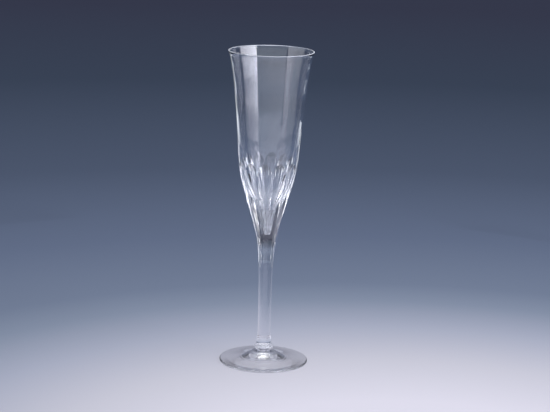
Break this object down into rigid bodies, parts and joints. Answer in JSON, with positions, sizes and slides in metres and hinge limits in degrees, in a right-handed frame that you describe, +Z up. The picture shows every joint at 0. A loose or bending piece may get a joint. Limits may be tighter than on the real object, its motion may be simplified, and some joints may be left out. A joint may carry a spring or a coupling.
{
  "type": "champagne flute",
  "caption": "Tall stemmed drinking glass: a trumpet-shaped bowl with arched cut panels above a slim stem, a pair of small collars and a low domed round foot.",
  "frame": {"origin": "centre of the flat ring on the underside of the foot, level with the table", "axes": "+Z up along the stem through the middle of the rim; a ridge between two cut panels stands at 9 degrees from -Y towards +X"},
  "size_m": [0.0676, 0.0676, 0.24],
  "materials": {
    "crystal": "polished clear"
  },
  "bodies": {
    "root": {"bowl": "crystal", "stem": "crystal", "upper_collar": "crystal", "lower_collar": "crystal", "foot": "crystal"}
  },
  "joints": []
}
